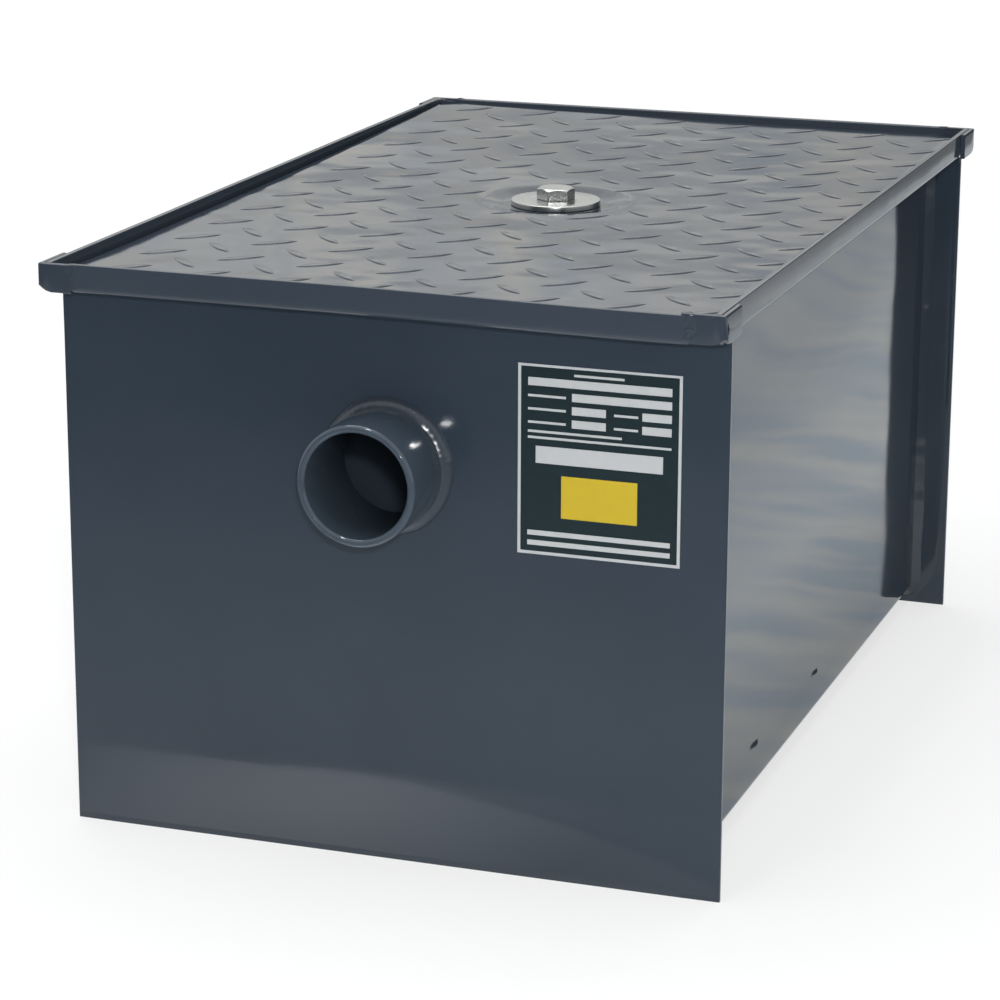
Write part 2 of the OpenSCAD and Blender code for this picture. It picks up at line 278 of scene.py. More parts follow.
def slate_enamel(name, thin="#3a424c", full="#2f3741", swell_mm=80, swell_deep_mm=0.6, stretch=(1, 1, 1),
                 gloss=(0.05, 0.11), cloud_mm=120, peel_mm=1.8, peel_deep_mm=0.012):
    """Gloss enamel on sheet steel: cloudy tone, a little change of gloss, orange peel and slow swells."""
    material, tree, shader, place = new_finish(name, {"IOR": 1.5})
    cloud, tone = two_toned(tree, place, full, thin, cloud_mm, detail=4.0, roughness=0.6)
    shine = add(tree, "MapRange", {1: 0.3, 2: 0.7, 3: gloss[0], 4: gloss[1]}, {0: cloud})
    drawn = add(tree, "Mapping", {"Scale": stretch}, {"Vector": place})
    swell = add(tree, "TexNoise", {"Scale": 1000 / swell_mm, "Detail": 2.0}, {"Vector": drawn})
    peel = add(tree, "TexNoise", {"Scale": 1000 / peel_mm, "Detail": 1.0}, {"Vector": place})
    slow = add(tree, "Bump", {"Strength": 1.0, "Distance": swell_deep_mm / 1000}, {"Height": swell})
    fine = add(tree, "Bump", {"Strength": 1.0, "Distance": peel_deep_mm / 1000},
               {"Height": peel, "Normal": slow})
    feed(shader, {"Base Color": tone, "Roughness": shine, "Normal": fine})
    return material


enamel = slate_enamel("slate_enamel")
# The panels' copy is a little darker than the enamel elsewhere: a painted shade that keeps the lit panels dark.
enamel_panel_painted_shade = slate_enamel("slate_enamel_on_panel", "#36404b", "#2b3540", swell_mm=110, swell_deep_mm=0.35)
# The rim's copy is a little lighter than the enamel elsewhere: painted light for the rim's brighter reflection.
enamel_rim_painted_light = slate_enamel("slate_enamel_on_rim", "#3e4650", "#333b45")
# The pipes' copy is lighter than the enamel elsewhere: painted light for the pipe's top, lit from above, and for
# its inside.
enamel_pipe_painted_light = slate_enamel("slate_enamel_on_pipe", "#45505b", "#39434e", swell_deep_mm=0.1)
enamel_wall = slate_enamel("slate_enamel_on_folded_wall", swell_mm=60, swell_deep_mm=0.4, stretch=(1, 0.22, 1))
enamel_lid = slate_enamel("slate_enamel_on_tread_plate", swell_mm=75, swell_deep_mm=1.1)
enamel_weld = slate_enamel("slate_enamel_over_weld", swell_mm=9, swell_deep_mm=0.25, gloss=(0.12, 0.28))
print("enamels:", [m.name for m in bpy.data.materials if m.name.startswith("slate")])

# %% [markdown]
# The bolt, washer and nut are zinc plated: a bright metal with a faint blue and straw tint from its
# passivation. The gasket and the seal are moulded black rubber, matt and slightly rough to the light.

# %% Zinc plate and rubber
zinc, tree, shader, place = new_finish("bright_zinc_plate", {"Metallic": 1.0})
tint, tone = two_toned(tree, place, "#b1b7be", "#bfbcb2", patch_mm=9, detail=2.0)
shine = add(tree, "MapRange", {1: 0.3, 2: 0.7, 3: 0.22, 4: 0.34}, {0: tint})
grit = add(tree, "TexNoise", {"Scale": 1000 / 0.9, "Detail": 2.0}, {"Vector": place})
rough = add(tree, "Bump", {"Strength": 1.0, "Distance": 0.01 / 1000}, {"Height": grit})
feed(shader, {"Base Color": tone, "Roughness": shine, "Normal": rough})

rubber, tree, shader, place = new_finish("moulded_black_rubber", {"IOR": 1.5})
bloom, tone = two_toned(tree, place, "#16171a", "#26282b", patch_mm=14, detail=3.0)
shine = add(tree, "MapRange", {3: 0.55, 4: 0.75}, {0: bloom})
grain = add(tree, "Bump", {"Strength": 0.6, "Distance": 0.05 / 1000}, {"Height": bloom})
feed(shader, {"Base Color": tone, "Roughness": shine, "Normal": grain})
print("metal and rubber:", zinc.name, rubber.name)

# %% [markdown]
# An end panel and the lid are both plates with one round hole. Such a plate is a grid in which a row runs
# once round the hole and the rows move outwards, first as circles and then as a blend between the last
# circle and the plate's own edge. Past the edge the rows turn round a small radius and come back on the
# other face, so the shape closes on itself.

# %% A plate with a round hole
def pierced_plate(corners, centre, rings, shares, thick, edge=0.6, columns=40):
    """Points in the plane and depth below the face of a plate's rows. A point lies on a ray from the hole's
    centre: its distance is a ring's radius, or a share of the way from the last ring to the inset edge."""
    corners, centre = np.asarray(corners, float), np.asarray(centre, float)
    side = np.roll(corners, -1, 0) - corners
    along = corners[:, None] + np.linspace(0, 1, columns, endpoint=False)[None, :, None] * side[:, None]
    ray = along.reshape(-1, 2) - centre
    ray /= np.linalg.norm(ray, axis=1, keepdims=True)
    out = np.stack([side[:, 1], -side[:, 0]], 1) / np.linalg.norm(side, axis=1, keepdims=True)
    facing = ray @ out.T
    far = np.sum((corners - centre) * out, 1)

    def edge_at(inset):
        """Distance along each ray to the plate's edge, moved in by the inset."""
        return np.min(np.where(facing > 1e-6, (far - inset) / np.maximum(facing, 1e-6), np.inf), axis=1)

    bend = np.linspace(0, np.pi / 2, 4)
    inset, drop = edge * (1 - np.sin(bend)), edge * (1 - np.cos(bend))
    rings, shares = np.asarray(rings, float), np.asarray(shares, float)
    flat = np.concatenate([np.repeat(rings[:, None], len(ray), 1),
                           rings[-1] + shares[:, None] * (edge_at(edge) - rings[-1])])
    brim = np.stack([edge_at(i) for i in inset[1:]])
    distance = np.concatenate([flat, brim, brim[::-1], flat[::-1]])
    face = np.zeros(len(flat))
    depth = np.concatenate([face, drop[1:], (thick - drop[1:])[::-1], face + thick])
    return centre + distance[..., None] * ray, depth


# %% [markdown]
# Each end panel carries the tank, its pipe and its end of the rim, and reaches the floor. The swell dies
# away at the panel's edges and round the pipe, where the rim, the walls and the weld hold the sheet.

# %% End panels
PANEL_SEED = {"inlet": 11, "outlet": 12}
PANEL_SWELL, PANEL_HELD, FLANGE_PULL = 0.35, 45, 0.25


def panel_swell(x, z, seed):
    """How far an end panel bulges outwards: the sheet's unevenness, eased to nothing at its edges and its pipe,
    less the flanges' pull towards the seam weld behind them."""
    held = [ease(away, 0, PANEL_HELD) for away in (panel_half - np.abs(x), wall_top - z, z)]
    drawn = FLANGE_PULL * ease(np.abs(x), shell_half - 2, panel_half) * ease(wall_top - z, 0, 30)
    free = held[0] * held[1] * held[2] * ease(np.hypot(x, z - pipe_z), 40, 95)
    return PANEL_SWELL * free * unevenness(x, z, 150, seed) - drawn


def end_panel(side, seed):
    """A panel's points: the pierced plate stood upright at one end, moved out by its swell."""
    corners = [[-panel_half, 0], [panel_half, 0], [panel_half, wall_top], [-panel_half, wall_top]]
    rings, shares = [pipe_r + 0.15, 36, 44], np.linspace(0, 1, 24)[1:]
    plane, depth = pierced_plate(corners, (0, pipe_z), rings, shares, sheet)
    x, z = plane[..., 0], plane[..., 1]
    y = side * (panel_out - depth[:, None] + panel_swell(x, z, seed))
    return surface(np.stack([x, y, z], -1), ring=True)


for end, side in ENDS:
    shape = end_panel(side, PANEL_SEED[end])
    piece(f"{end}_end_panel", shape, enamel_panel_painted_shade, stands_for=[f"{end}_panel"])

# %% [markdown]
# The bottom and both walls are one sheet, folded twice: the tub's outline outside, the same outline one
# sheet further in, and the two carried along the tank. The swells are laid out on the flat sheet, drawn
# long in the rolling direction, and held still at folds and ends.

# %% Folded shell
def tub_path(inset=0.0, wall=30, fold=8, floor=30):
    """The shell's outline from the top of the left wall, under the floor and up the right wall, as points,
    outward normals and the length so far; the inset moves it into the metal."""
    half, low, r = shell_half - inset, belly + inset, fold_r - inset
    rise = np.linspace(wall_top, low + r, wall)
    turn = np.linspace(np.pi, 1.5 * np.pi, fold + 2)[1:-1]
    across = np.linspace(r - half, half - r, floor)
    left = np.concatenate([np.stack([np.full(wall, -half), rise], 1),
                           np.stack([r - half + r * np.cos(turn), low + r + r * np.sin(turn)], 1)])
    base = np.stack([across, np.full(floor, low)], 1)
    normal_left = np.concatenate([np.tile([-1.0, 0.0], (wall, 1)), np.stack([np.cos(turn), np.sin(turn)], 1)])
    points = np.concatenate([left, base, (left * [-1, 1])[::-1]])
    normals = np.concatenate([normal_left, np.tile([0.0, -1.0], (floor, 1)), (normal_left * [-1, 1])[::-1]])
    length = np.concatenate([[0], np.cumsum(np.linalg.norm(np.diff(points, axis=0), axis=1))])
    return points, normals, length


def folded_shell(wall=30, deep=0.4):
    """At each station along Y the outer outline and the inner one, moved out by the swell."""
    outer, normal, length = tub_path(wall=wall)
    inner = tub_path(inset=sheet, wall=wall)[0]
    y = np.linspace(-shell_end, shell_end, 61)
    flat = ease(np.max(np.abs(normal), 1), 0.95, 1.0)
    near_fold = np.minimum(np.abs(length - length[wall]), np.abs(length - length[-wall - 1]))
    held = flat * ease(near_fold, 0, 40) * ease(length, 0, 30) * ease(length[-1] - length, 0, 30)
    along, across = np.meshgrid(y, length, indexing="ij")
    swell = deep * held * ease(shell_end - np.abs(along), 0, 45) * unevenness(across, along, 120, 21, run=2.5)
    move = swell[..., None] * normal
    loop = np.concatenate([outer + move, (inner + move)[:, ::-1]], axis=1)
    return surface(np.stack([loop[..., 0], np.repeat(y[:, None], loop.shape[1], 1), loop[..., 1]], -1))


piece("folded_shell", folded_shell(), enamel_wall, stands_for=["tank_shell"])

# %% [markdown]
# The rim is made of four rolled angles. Cut edges and the bend have small radii that catch the light as a
# thin bright line, so each section is drawn with rounded corners and carried along its bar. The bars are
# a little wavy, as cheap rolled angle is; the front one sags to the right.

# %% Rim angles
END_RADII, SIDE_RADII = [0.7, 2.9, 0.5, 0.5, 0.5, 1.2], [2.5, 0.35, 0.35, 0.35]
seat_top, joint_x = wall_top + sheet, strap_lo[0]
end_back, side_back = end_lip - sheet, side_lip - sheet


def bar_along(axis, section, stations):
    """A closed section in the two other axes, repeated at stations along one axis."""
    points = np.empty((len(stations), len(section), 3))
    points[..., axis] = np.asarray(stations)[:, None]
    points[..., [a for a in range(3) if a != axis]] = section
    return surface(points)


def oblong(lo, hi, radius):
    """Rounded oblong between two corners of a plane."""
    return rounded([[lo[0], lo[1]], [hi[0], lo[1]], [hi[0], hi[1]], [lo[0], hi[1]]], radius)


def end_angle(side):
    """The angle across one end: lip and seat in one section, and the seat's two short ends beyond the joints."""
    section = rounded([[end_lip, lip_top], [end_lip, wall_top], [shell_end, wall_top], [shell_end, seat_top],
                       [end_back, seat_top], [end_back, lip_top]], END_RADII, 6)
    points, quads = bar_along(0, section, np.linspace(-joint_x, joint_x, 61))
    x, y, z = np.moveaxis(points, -1, 0)
    y += 0.1 * ease(z, seat_top, lip_top) * unevenness(x, z, 130, 31 + side)
    if side < 0:
        z += (0.45 - 1.5 * ease(x, -30, 140)) * ease(y, shell_end, end_back)
    seat = oblong((shell_end, wall_top), (end_back + 0.2, seat_top), 0.4)
    tabs = [bar_along(0, seat, s * np.linspace(joint_x - 0.2, front_hi[0], 3)) for s in (-1, 1)]
    points, quads = together((points, quads), *tabs)
    return points * [1, side, 1], quads


def side_angle(side):
    """The angle along one side: its lip runs between the end lips, and its seat between the end panels."""
    lip = rounded([[side_lip, wall_top], [side_lip, lip_top], [side_back, lip_top], [side_back, wall_top]],
                  SIDE_RADII, 6)
    points, quads = bar_along(1, lip, np.linspace(-side_hi[1], side_hi[1], 91))
    x, y, z = np.moveaxis(points, -1, 0)
    lean = ease(z, wall_top, lip_top) * unevenness(y, z, 150, 41 + side)
    x += 0.12 * lean * ease(side_hi[1] - np.abs(y), 20, 80)
    seat = oblong((side_lo[0], wall_top), (side_back + 0.3, seat_top), 0.4)
    points, quads = together((points, quads), bar_along(1, seat, np.linspace(-shell_end, shell_end, 3)))
    return points * [side, 1, 1], quads


for name, angle, side in (("front", end_angle, -1), ("rear", end_angle, 1),
                          ("left", side_angle, -1), ("right", side_angle, 1)):
    piece(f"rim_angle_{name}", angle(side), enamel_rim_painted_light, stands_for=[f"rim_{name}"])

# %% [markdown]
# Four folded straps close the rim's corners. Each is a strip bent to a right angle, welded on and ground
# off at its lower corner. The strip is a rounded section carried round the bend; points below the plane
# of the ground corner, at 45 degrees, are lifted to it.

# %% Corner straps
def corner_strap(side_x, side_y, ground=4.0, bend=1.4):
    """A strap's points: the section's depth into the metal and height, carried along a leg, an arc and a leg;
    deeper points take a smaller arc, down to a sharp inner corner."""
    far_x, far_y = strap_hi[0], -strap_lo[1]
    section = oblong((0, wall_top), (sheet * 0.93, lip_top), [0.6, 0.4, 0.6, 0.9])
    deep = section[:, 0]
    turn = np.linspace(-np.pi / 2, 0, 9)[:, None]
    radius = np.maximum(bend - deep, 0.1)
    middle_x, middle_y = far_x - deep - radius, deep + radius - far_y
    first, last = np.linspace(0, 1, 7)[:-1, None], np.linspace(0, 1, 10)[1:, None]
    plan = np.concatenate([
        np.stack([joint_x + first * (middle_x - joint_x), deep - far_y + 0 * first], -1),
        np.stack([middle_x + radius * np.cos(turn), middle_y + radius * np.sin(turn)], -1),
        np.stack([far_x - deep + 0 * last, middle_y + last * (strap_hi[1] - middle_y)], -1)])
    z = np.repeat(section[None, :, 1], len(plan), 0)
    inward = ((far_x - plan[..., 0]) + (far_y + plan[..., 1])) / np.sqrt(2)
    z = np.maximum(z, wall_top + ground - inward)
    return surface(np.stack([side_x * plan[..., 0], -side_y * plan[..., 1], z], -1))


for corner, side_x, side_y in (("fl", -1, -1), ("fr", 1, -1), ("rl", -1, 1), ("rr", 1, 1)):
    shape = corner_strap(side_x, side_y)
    piece(f"corner_strap_{corner}", shape, enamel, stands_for=[f"rim_corner_{corner}"])

# %% [markdown]
# The pipe stubs are cut from two-inch steel pipe and bevelled at the free end. A stub is a profile turned
# about an axis; its corners are rounded first, because the bright ring on the pipe's mouth is that small
# bevel catching the light.

# %% Pipe stubs
def turned(profile, steps=96):
    """A closed profile of radius and height turned about the height's axis, as points of x, y and height."""
    angle = np.linspace(0, 2 * np.pi, steps, endpoint=False)
    r, h = profile[:, 0][:, None], np.repeat(profile[:, 1][:, None], steps, 1)
    return surface(np.stack([r * np.cos(angle), r * np.sin(angle), h], -1), ring=True)


def pipe_stub(side, bevel=1.2):
    """A stub turned about the pipe's axis and laid along Y."""
    bore, inner, mouth = pipe_r - pipe_wall, -pipe_hi[1], pipe_reach - bevel
    profile = rounded([[bore, inner], [pipe_r, inner], [pipe_r, mouth], [pipe_r - bevel, pipe_reach],
                       [bore + bevel, pipe_reach], [bore, mouth]], 0.45, 3)
    points, quads = turned(profile, 128)
    return np.stack([points[..., 0], side * points[..., 2], pipe_z + points[..., 1]], -1), quads


for end, side in ENDS:
    piece(f"{end}_pipe_stub", pipe_stub(side), enamel_pipe_painted_light, stands_for=[f"{end}_pipe"])

# %% [markdown]
# Welds tell the eye how the tank was made. A fillet weld is a bead with a rounded face between two legs,
# rippled where the pool froze step by step. The same bead goes round each pipe and along the seam between
# the shell and each end panel: only the path differs. Its two straight sides are sunk in the metal.

# %% Weld beads
def bead_section(leg, ripple, round_share, sunk=-0.35):
    """Reach of a bead along its two legs: a face between a straight chamfer and a quarter circle by the round
    share, then the sunken root. The ripple is highest in the middle of the face."""
    t = np.linspace(0, 1, 8)
    arc = np.stack([np.cos(t * np.pi / 2), np.sin(t * np.pi / 2)], 1)
    face = (1 - round_share) * np.stack([1 - t, t], 1) + round_share * arc
    swollen = leg[:, None, None] * face + (ripple[:, None] * np.sin(t * np.pi))[..., None]
    root = np.full((len(leg), 1, 2), sunk)
    return np.concatenate([swollen, root], axis=1)


def pipe_bead(side, seed):
    """Bead round a pipe: one leg out along the panel and the other along the pipe."""
    angle = np.linspace(0, 2 * np.pi, 420, endpoint=False)
    leg = 4.6 + 0.5 * unevenness(np.cos(angle) * 30, np.sin(angle) * 30, 22, seed)
    reach = bead_section(leg, 0.04 * np.cos(62 * angle + 3 * np.sin(5 * angle)), 0.55)
    r, out = pipe_r + reach[..., 0], panel_out + reach[..., 1]
    points = np.stack([r * np.cos(angle)[:, None], side * out, pipe_z + r * np.sin(angle)[:, None]], -1)
    return surface(points, ring=True)


def seam_bead(side, seed):
    """Bead along the shell's outline at one end: one leg out along the panel's flange, one along the wall."""
    path, normal, length = tub_path(wall=280, fold=16, floor=300)
    leg = 5.0 + 0.5 * unevenness(length, 0 * length, 60, seed)
    reach = bead_section(leg, 0.12 * unevenness(length, 0 * length, 9, seed + 9), 0.08)
    plan = path[:, None] + reach[..., :1] * normal[:, None]
    y = side * (shell_end - reach[..., 1])
    return surface(np.stack([plan[..., 0], y, plan[..., 1]], -1))


for kind, bead, seeds in (("pipe", pipe_bead, (51, 52)), ("seam", seam_bead, (53, 54))):
    for (end, side), seed in zip(ENDS, seeds):
        piece(f"{end}_{kind}_weld", bead(side, seed), enamel_weld, sharp=70)

# %% [markdown]
# Where a strap's end meets an end lip, the butt joint was welded and then ground nearly flush. What is left
# is a low, lumpy band over the lip's top edge: a path, given a width and a small height that falls to
# nothing at both sides.

# %% Ground butt welds
def butt_weld(side_x, side_y, seed, edge=0.7, steps=24, over=4, half_wide=3.2):
    """A band over the lip: its height falls off across it, times a lumpy swell, and its back is sunken."""
    turn = np.linspace(0, np.pi / 2, 5)
    round_off = np.stack([np.cos(turn), np.sin(turn)], 1)[1:]
    climb = np.linspace(wall_top + 2.5, lip_top - edge, steps)
    top = np.linspace(end_lip - edge, end_back + 0.4, over + 1)[1:]
    path = np.concatenate([np.stack([np.full(steps, end_lip), climb], 1),
                           [end_lip - edge, lip_top - edge] + edge * round_off,
                           np.stack([top, np.full(over, lip_top)], 1)])
    normal = np.concatenate([np.tile([1.0, 0.0], (steps, 1)), round_off, np.tile([0.0, 1.0], (over, 1))])
    run = np.concatenate([[0], np.cumsum(np.linalg.norm(np.diff(path, axis=0), axis=1))])
    across = np.linspace(-1, 1, 13)
    lumps = 0.3 + 0.3 * unevenness(run[:, None] + 0 * across, 3 * across + 0 * run[:, None], 3.6, seed)
    front = np.clip(lumps * (1 - across ** 2) - 0.06, -0.3, 0.55)
    high = np.concatenate([front, np.full_like(front, -0.4)[:, ::-1]], axis=1)
    wide = joint_x + half_wide * np.concatenate([across, across[::-1]]) + 0.8 * np.sin(run / 3)[:, None]
    lift = path[:, None] + high[..., None] * normal[:, None]
    return surface(np.stack([side_x * wide, side_y * lift[..., 0], lift[..., 1]], -1))


bands = [butt_weld(side_x, side_y, 60 + 2 * side_x + side_y) for side_x in (-1, 1) for side_y in (-1, 1)]
piece("butt_welds", together(*bands), enamel_weld, sharp=60)

# %% [markdown]
# The guides of the baffles are tacked to the wall from outside, and two of the tacks show low on the right
# wall. A tack is a flat oval drop of weld metal: a dome over an oval, with a skirt in the metal.

# %% Tacks on the wall
def wall_tack(y, z, half_long, half_tall, high, sunk=-0.9):
    """A tack: rings of an oval, lifted off the wall by a squared cosine of the way out, then the skirt."""
    out = np.append(np.linspace(0.05, 1, 8), 1.0)[:, None]
    turn = np.linspace(0, 2 * np.pi, 28, endpoint=False)
    lift = np.append(high * np.cos(out[:-1, 0] * np.pi / 2) ** 2, sunk)[:, None] + 0 * turn
    points = [shell_half + lift, y + half_long * out * np.cos(turn), z + half_tall * out * np.sin(turn)]
    return surface(np.stack(points, -1))


tacks = [wall_tack(-124.5, 34, 11, 1.9, 1.7), wall_tack(4, 33, 9, 1.6, 1.4)]
piece("wall_tacks", together(*tacks), enamel_weld)

# %% [markdown]
# The lid is the showpiece: tread plate with two crossed sets of lugs, and a dish that keeps the bolt's head
# low. The plate is a pierced plate again, with close rings in the dish. A lug is a low pointed block with a
# flat top and steep flanks, copied to all places in one array; only its near flank shows, as a thin dark
# stroke. Lugs are squeezed flat where the dish was pressed and cut off at the lid's edge. The plate is
# bowed: the bolt draws its middle down, and the far corners, the left one most, stand up a little.

# %% Tread-plate lid
LUG_LONG, LUG_WIDE, LUG_HIGH, LUG_TIP, LUG_SOLID = 26.0, 5.6, 0.45, 0.06, 0.9
LUG_PITCH, LUG_SHIFT = np.array([42.6, 42.3]), np.array([-11.0, 1.0])
LUG_ROWS = np.array([-1, -0.9, -0.75, -0.55, -0.25, 0.25, 0.55, 0.75, 0.9, 1])
LUG_COLUMNS = np.array([-1, -0.94, -0.88, -0.82, -0.76, -0.5, 0.5, 0.76, 0.82, 0.88, 0.94, 1])
LID_CLIP, LUG_MARGIN, LUG_MARGIN_LEFT, LUG_CLEAR = 12.0, 3, 8, 42
DISH_STEP, DISH_FLOOR, DISH_RIM, BOLT_HOLE = 17.0, 26.0, 45.0, 7.15
DISH_DEEP, DISH_CONE, DISH_DROP = 4.0, 2.6, 1.4

lid_half = lid_hi[:2]
lid_top = lid_hi[2] - LUG_SOLID
lid_thick = lid_top - gasket_hi[2]


def lid_height(x, y):
    """Height of the plate's face: its top, less a dish with a step under the washer, plus a swell
    and the bow, a sum of squares and products of the shares of the way to the edges."""
    u, v = x / lid_half[0], y / lid_half[1]
    r = np.hypot(x, y)
    bow = 0.75 * u * (u - 1) + v * (0.95 - 0.55 * u + 2.05 * v)
    drop = DISH_DROP * ease(r, DISH_STEP, DISH_FLOOR - 0.5)
    dish = DISH_DEEP - DISH_CONE * ease(r, DISH_FLOOR, DISH_RIM) - drop
    return lid_top - dish + ease(r, 24, 60) * bow + 0.2 * ease(r, 40, 75) * unevenness(x, y, 140, 71)


def lid_plate():
    """The plate's points: rings through the dish, then shares out to the clipped edge."""
    a, b, c = *lid_half, LID_CLIP
    corners = [[a, c - b], [a, b - c], [a - c, b], [c - a, b], [-a, b - c], [-a, c - b], [c - a, -b], [a - c, -b]]
    rings = [*np.linspace(BOLT_HOLE, DISH_STEP, 3), *np.linspace(DISH_STEP + 1, DISH_RIM + 2, 20)]
    shares = np.linspace(0, 1, 40)[1:]
    plane, depth = pierced_plate(corners, (0, 0), rings, shares, lid_thick, edge=0.7, columns=36)
    x, y = plane[..., 0], plane[..., 1]
    return surface(np.stack([x, y, lid_height(x, y) - depth[:, None]], -1), ring=True)


def lug_places():
    """Middle and heading of every lug: two grids half a pitch apart, at 45 degrees one way and the other."""
    reach = [np.arange(-n, n + 1) for n in np.ceil(lid_half / LUG_PITCH).astype(int) + 1]
    i, j, turn = np.meshgrid(*reach, [0, 1], indexing="ij")
    x, y = LUG_SHIFT[0] + (i + turn / 2) * LUG_PITCH[0], LUG_SHIFT[1] + (j + turn / 2) * LUG_PITCH[1]
    keep = (x > LUG_MARGIN_LEFT - lid_half[0]) & (x < lid_half[0] - LUG_MARGIN) \
        & (np.abs(y) < lid_half[1] - LUG_MARGIN) & (np.hypot(x, y) > LUG_CLEAR) \
        & (np.abs(x) + np.abs(y) < lid_half.sum() - LID_CLIP - LUG_MARGIN)
    return np.stack([x[keep], y[keep]], -1), np.where(turn[keep] > 0, -np.pi / 4, np.pi / 4)


def tread_lugs():
    """All lugs: along u the outline is a lens of two arcs, and across v a flat top falls off at steep flanks."""
    u, v = np.meshgrid(LUG_ROWS, LUG_COLUMNS, indexing="ij")
    arc = (LUG_LONG ** 2 + LUG_WIDE ** 2) / (4 * LUG_WIDE)
    half = np.sqrt(arc ** 2 - (u * LUG_LONG / 2) ** 2) - (arc - LUG_WIDE / 2) + 0.25 * (1 - u ** 2) + 0.12
    crown = LUG_HIGH - (LUG_HIGH - LUG_TIP) * u ** 4
    long, wide, high = u * LUG_LONG / 2, v * half, (crown + 0.1) * (1 - ease(np.abs(v), 0.76, 1)) - 0.1
    middle, heading = lug_places()
    cos, sin = np.cos(heading)[:, None, None], np.sin(heading)[:, None, None]
    x = middle[:, 0, None, None] + long * cos - wide * sin
    y = middle[:, 1, None, None] + long * sin + wide * cos
    edge_x, edge_y = lid_half - 0.3
    x, y = np.clip(x, -edge_x, edge_x), np.clip(y, -edge_y, edge_y)
    over = np.maximum(np.abs(x) + np.abs(y) - (edge_x + edge_y - LID_CLIP), 0) / 2
    x, y = x - np.sign(x) * over, y - np.sign(y) * over
    z = lid_height(x, y) - 0.02 + (high + 0.02) * ease(np.hypot(x, y), 37, 44)
    starts = np.arange(len(middle))[:, None, None] * u.size
    return np.stack([x, y, z], -1), (grid_quads(*u.shape)[None] + starts).reshape(-1, 4)


lid_shape = together(lid_plate(), tread_lugs())
piece("tread_plate_lid", lid_shape, enamel_lid, body="cover", stands_for=["lid"])
print("lugs:", len(lug_places()[1]))

# %% [markdown]
# One hex bolt with a large washer holds the lid. The washer is stamped, so its upper edge is rolled over.
# The head is a hexagon whose corners were turned off by a cone, which leaves a curved chamfer; the thread
# is a wave in radius that climbs one pitch in a turn.

# %% Washer and bolt
def stamped_washer(hole=6.75):
    """The washer's rounded profile turned about the bolt's axis."""
    edge, low, top = washer_hi[0], washer_lo[2], washer_hi[2]
    return turned(rounded([[hole, low], [edge, low], [edge, top], [hole, top]], [0.3, 0.3, 0.5, 0.5], 5), 128)


def hex_bolt(pitch=25.4 / 13, shank_r=6.35, flats=18.4, head_turn=6.0):
    """Rows of points round the axis, from the shank's tip to the middle of the head. A head row's radius is half
    the flats over the cosine of the angle from the nearest flat; a shank row's follows the thread."""
    angle = np.linspace(0, 2 * np.pi, 96, endpoint=False)
    low, top, under = bolt_lo[2], bolt_hi[2], washer_hi[2]
    hexagon = flats / 2 / np.cos((angle + np.radians(30 + head_turn)) % (np.pi / 3) - np.pi / 6)
    z = np.linspace(low, under - 0.2, 250)[:, None]
    turn = ((z / pitch - angle / (2 * np.pi)) % 1) * 2 - 1
    groove = 1.05 * np.clip(1.25 * np.abs(turn) - 0.12, 0, 1) * ease(z, low, low + 2)
    thread = shank_r - groove - 1.4 * (1 - ease(z, low - 0.6, low + 2.2))
    cone = flats / 2 * 0.95
    chamfer = top - (hexagon - cone) * np.tan(np.radians(30))
    rows = [(0.05, low), (thread, z), (shank_r, under), (hexagon - 0.35, under), (hexagon, under + 0.35),
            (hexagon, chamfer), (cone, top), (0.6 * cone, top), (0.05, top)]
    radius, height = [np.concatenate([np.atleast_2d(row[k] + 0 * angle) for row in rows]) for k in (0, 1)]
    return surface(np.stack([radius * np.cos(angle), radius * np.sin(angle), height], -1))


piece("stamped_washer", stamped_washer(), zinc, body="washer", stands_for=["bolt_washer"])
piece("hex_bolt", hex_bolt(), zinc, body="bolt", stands_for=["lid_bolt"], sharp=28)

# %% [markdown]
# A film label is stuck on the inlet panel. It is a plain form: a white edge, a dark green field, blank pale
# boxes and one blank yellow block. The film is a grid whose lines run along every box's edge, which lets
# each cell take its box's colour; it lies on the panel's swell, a fifth of a millimetre proud.

# %% Label film
LABEL_X, LABEL_Z, LABEL_PROUD, LABEL_SUNK = (67.5, 149.0), (167.6, 261.6), 0.2, 0.1
# A box is left, low, right and high from the label's lower left corner, and the number of its film
LABEL_ROW = [(5.0, 1.0, 24.0, 2.2), (27.0, 0.0, 44.0, 4.0), (48.0, 1.0, 60.0, 2.2), (62.0, 0.0, 76.5, 4.0)]
LABEL_BOXES = [
    (1.5, 1.5, 80.0, 92.8, 1), (5.0, 4.5, 76.5, 7.0, 0), (5.0, 9.5, 76.5, 12.0, 0), (22.0, 19.0, 60.0, 40.0, 2),
    (9.0, 45.5, 72.5, 54.0, 0), (5.0, 57.5, 76.5, 58.7, 0), (5.0, 60.5, 52.0, 61.7, 0),
    *[(left, z + low, right, z + high, 0) for z in (64.0, 70.5) for left, low, right, high in LABEL_ROW],
    (5.0, 78.0, 24.0, 79.2, 0), (27.0, 77.0, 76.5, 81.0, 0), (5.0, 83.5, 76.5, 87.5, 0),
    (28.0, 89.2, 53.0, 90.4, 0)]


def film(name, ink, faded):
    """Printed vinyl film: a flat ink, slightly mottled, under a satin surface."""
    material, tree, shader, place = new_finish(name, {"IOR": 1.45, "Roughness": 0.32})
    mottle, tone = two_toned(tree, place, ink, faded, patch_mm=5, detail=3.0)
    crinkle = add(tree, "Bump", {"Strength": 1.0, "Distance": 0.04 / 1000}, {"Height": mottle})
    feed(shader, {"Base Color": tone, "Normal": crinkle})
    return material


def cut_lines(low, high, cuts, step=6.0):
    """Grid lines from low to high through every cut, with more between them where they lie far apart."""
    lines = np.unique(np.concatenate([[low, high], cuts]))
    pairs = zip(lines[:-1], lines[1:])
    more = [np.linspace(a, b, int(np.ceil((b - a) / step)), endpoint=False) for a, b in pairs]
    return np.concatenate([*more, [high]])


